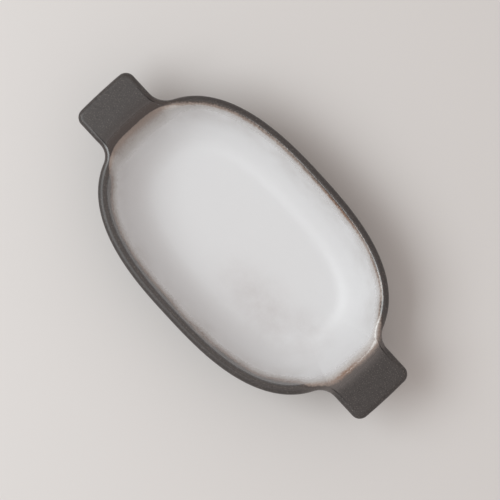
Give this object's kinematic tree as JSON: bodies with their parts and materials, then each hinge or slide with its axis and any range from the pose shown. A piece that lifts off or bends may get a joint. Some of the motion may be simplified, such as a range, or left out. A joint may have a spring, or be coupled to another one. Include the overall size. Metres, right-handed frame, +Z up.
{
  "type": "oval eared dish",
  "caption": "Oval stoneware serving dish with a flat ear at each end, dark glaze outside and pale glaze inside.",
  "frame": {"origin": "middle of the foot ring on the table, under the centre of the bowl", "axes": "+X along the two ears, +Y across the bowl, +Z up"},
  "size_m": [0.25, 0.125, 0.044],
  "materials": {
    "clay": "bare fired stoneware, matt",
    "white_glaze": "glossy grey-white glaze",
    "dark_glaze": "satin charcoal glaze with fine speckle"
  },
  "bodies": {
    "root": {"bowl_body": "clay", "foot_ring": "clay", "ear_right": "clay", "ear_left": "clay", "inner_glaze": "white_glaze", "outer_glaze": "dark_glaze"}
  },
  "joints": []
}
